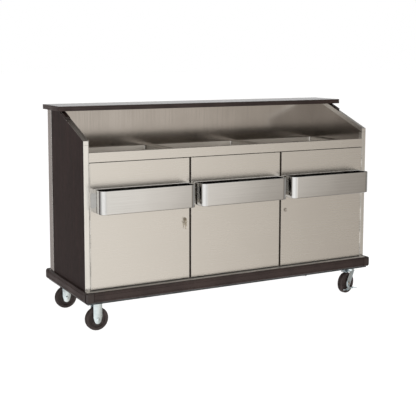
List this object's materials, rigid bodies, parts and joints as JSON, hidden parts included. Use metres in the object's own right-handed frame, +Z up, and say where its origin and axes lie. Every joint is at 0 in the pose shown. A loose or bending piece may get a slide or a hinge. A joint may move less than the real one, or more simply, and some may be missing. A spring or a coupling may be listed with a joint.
{
  "type": "portable bar",
  "caption": "Mobile service bar on casters: stainless doors, deck, ice bin and bottle wells in a dark laminate case with a raised bar top, speed rails, locks and a bumper.",
  "frame": {"origin": "on the floor, at the middle of the whole footprint, speed rails included", "axes": "+X runs along the bar, from left to right seen from the bartender's side; +Y points to the customers' side; +Z is up"},
  "size_m": [1.886, 0.7238, 1.187],
  "materials": {
    "brushed_stainless": "brushed stainless sheet",
    "dark_laminate": "espresso wood-grain laminate on board",
    "top_laminate": "near-black satin laminate on board",
    "black_vinyl": "matt black vinyl extrusion",
    "black_plastic": "moulded black plastic",
    "black_rubber": "solid black rubber",
    "zinc_plate": "bright zinc plate",
    "galvanised_steel": "galvanised steel",
    "insulating_foam": "pale rigid foam",
    "brass": "dull brass"
  },
  "bodies": {
    "cabinet": {"back_panel": "dark_laminate", "bar_top": "top_laminate", "bar_top_edging": "black_vinyl", "base_frame": "galvanised_steel", "base_pan": "brushed_stainless", "bottle_well_left": "brushed_stainless", "bottle_well_right": "brushed_stainless", "bumper": "black_vinyl", "bumper_corner_front_left": "black_plastic", "bumper_corner_front_right": "black_plastic", "bumper_corner_rear_left": "black_plastic", "bumper_corner_rear_right": "black_plastic", "case_liner": "brushed_stainless", "caster_fork_front_left": "zinc_plate", "caster_fork_rear_left": "zinc_plate", "caster_plate_front_right": "zinc_plate", "caster_plate_rear_right": "zinc_plate", "corner_guard_left": "brushed_stainless", "corner_guard_right": "brushed_stainless", "deck": "brushed_stainless", "drain_valve": "brass", "fascia": "brushed_stainless", "front_trim_left": "brushed_stainless", "front_trim_right": "brushed_stainless", "hinge_leaf_case_left": "brushed_stainless", "hinge_leaf_case_right": "brushed_stainless", "ice_bin": "brushed_stainless", "ice_bin_jacket": "insulating_foam", "middle_panel": "brushed_stainless", "partition_left": "dark_laminate", "partition_right": "dark_laminate", "side_panel_left": "dark_laminate", "side_panel_right": "dark_laminate", "slope_block_left": "black_plastic", "slope_block_right": "black_plastic", "slope_trim_left": "brushed_stainless", "slope_trim_right": "brushed_stainless"},
    "door_left": {"door_left": "brushed_stainless", "hinge_leaf_door_left": "brushed_stainless", "lock_body_left": "zinc_plate"},
    "door_right": {"door_right": "brushed_stainless", "hinge_leaf_door_right": "brushed_stainless", "lock_body_right": "zinc_plate"},
    "lock_left": {"lock_cam_left": "zinc_plate", "keys": "brass"},
    "lock_right": {"lock_cam_right": "zinc_plate"},
    "rail_left": {"speed_rail_left": "brushed_stainless"},
    "rail_middle": {"speed_rail_middle": "brushed_stainless"},
    "rail_right": {"speed_rail_right": "brushed_stainless"},
    "drain_lever": {"drain_lever": "zinc_plate"},
    "swivel_front_right": {"caster_fork_front_right": "zinc_plate", "caster_axle_front_right": "zinc_plate"},
    "swivel_rear_right": {"caster_fork_rear_right": "zinc_plate", "caster_axle_rear_right": "zinc_plate"},
    "wheel_front_left": {"caster_wheel_front_left": "black_rubber"},
    "wheel_rear_left": {"caster_wheel_rear_left": "black_rubber"},
    "wheel_front_right": {"caster_wheel_front_right": "black_rubber"},
    "wheel_rear_right": {"caster_wheel_rear_right": "black_rubber"},
    "brake_front_right": {"brake_pedal_front_right": "zinc_plate"},
    "brake_rear_right": {"brake_pedal_rear_right": "zinc_plate"}
  },
  "joints": [
    {"name": "door_left", "type": "hinge", "parent": "cabinet", "child": "door_left", "pos_m": [-0.8869, -0.2541, 0.569], "axis": [0, 0, -1], "range_deg": [0, 105]},
    {"name": "door_right", "type": "hinge", "parent": "cabinet", "child": "door_right", "pos_m": [0.8869, -0.2541, 0.569], "axis": [0, 0, 1], "range_deg": [0, 105]},
    {"name": "lock_left", "type": "hinge", "parent": "door_left", "child": "lock_left", "pos_m": [-0.3323, -0.2544, 0.5635], "axis": [0, 1, 0], "range_deg": [0, 90]},
    {"name": "lock_right", "type": "hinge", "parent": "door_right", "child": "lock_right", "pos_m": [0.3323, -0.2544, 0.5635], "axis": [0, -1, 0], "range_deg": [0, 90]},
    {"name": "rail_left_lift", "type": "slide", "parent": "door_left", "child": "rail_left", "axis": [0, 0, 1], "range_m": [0, 0.05]},
    {"name": "rail_middle_lift", "type": "slide", "parent": "cabinet", "child": "rail_middle", "axis": [0, 0, 1], "range_m": [0, 0.05]},
    {"name": "rail_right_lift", "type": "slide", "parent": "door_right", "child": "rail_right", "axis": [0, 0, 1], "range_m": [0, 0.05]},
    {"name": "drain_lever", "type": "hinge", "parent": "cabinet", "child": "drain_lever", "pos_m": [0.15, 0.0609, 0.6107], "axis": [0, 1, 0], "range_deg": [0, 90]},
    {"name": "swivel_front_right", "type": "hinge", "parent": "cabinet", "child": "swivel_front_right", "pos_m": [0.843, -0.2131, 0.15], "axis": [0, 0, 1], "continuous": true},
    {"name": "swivel_rear_right", "type": "hinge", "parent": "cabinet", "child": "swivel_rear_right", "pos_m": [0.843, 0.2749, 0.15], "axis": [0, 0, 1], "continuous": true},
    {"name": "wheel_front_left", "type": "hinge", "parent": "cabinet", "child": "wheel_front_left", "pos_m": [-0.843, -0.2131, 0.0635], "axis": [0, 1, 0], "continuous": true},
    {"name": "wheel_rear_left", "type": "hinge", "parent": "cabinet", "child": "wheel_rear_left", "pos_m": [-0.843, 0.2749, 0.0635], "axis": [0, 1, 0], "continuous": true},
    {"name": "wheel_front_right", "type": "hinge", "parent": "swivel_front_right", "child": "wheel_front_right", "pos_m": [0.80629, -0.22293, 0.0635], "axis": [-0.2588, 0.9659, 0], "continuous": true},
    {"name": "wheel_rear_right", "type": "hinge", "parent": "swivel_rear_right", "child": "wheel_rear_right", "pos_m": [0.8212, 0.24377, 0.0635], "axis": [-0.8192, 0.5736, 0], "continuous": true},
    {"name": "brake_front_right", "type": "hinge", "parent": "swivel_front_right", "child": "brake_front_right", "pos_m": [0.80629, -0.22293, 0.0635], "axis": [-0.2588, 0.9659, 0], "range_deg": [0, 15]},
    {"name": "brake_rear_right", "type": "hinge", "parent": "swivel_rear_right", "child": "brake_rear_right", "pos_m": [0.8212, 0.24377, 0.0635], "axis": [-0.8192, 0.5736, 0], "range_deg": [0, 15]}
  ]
}
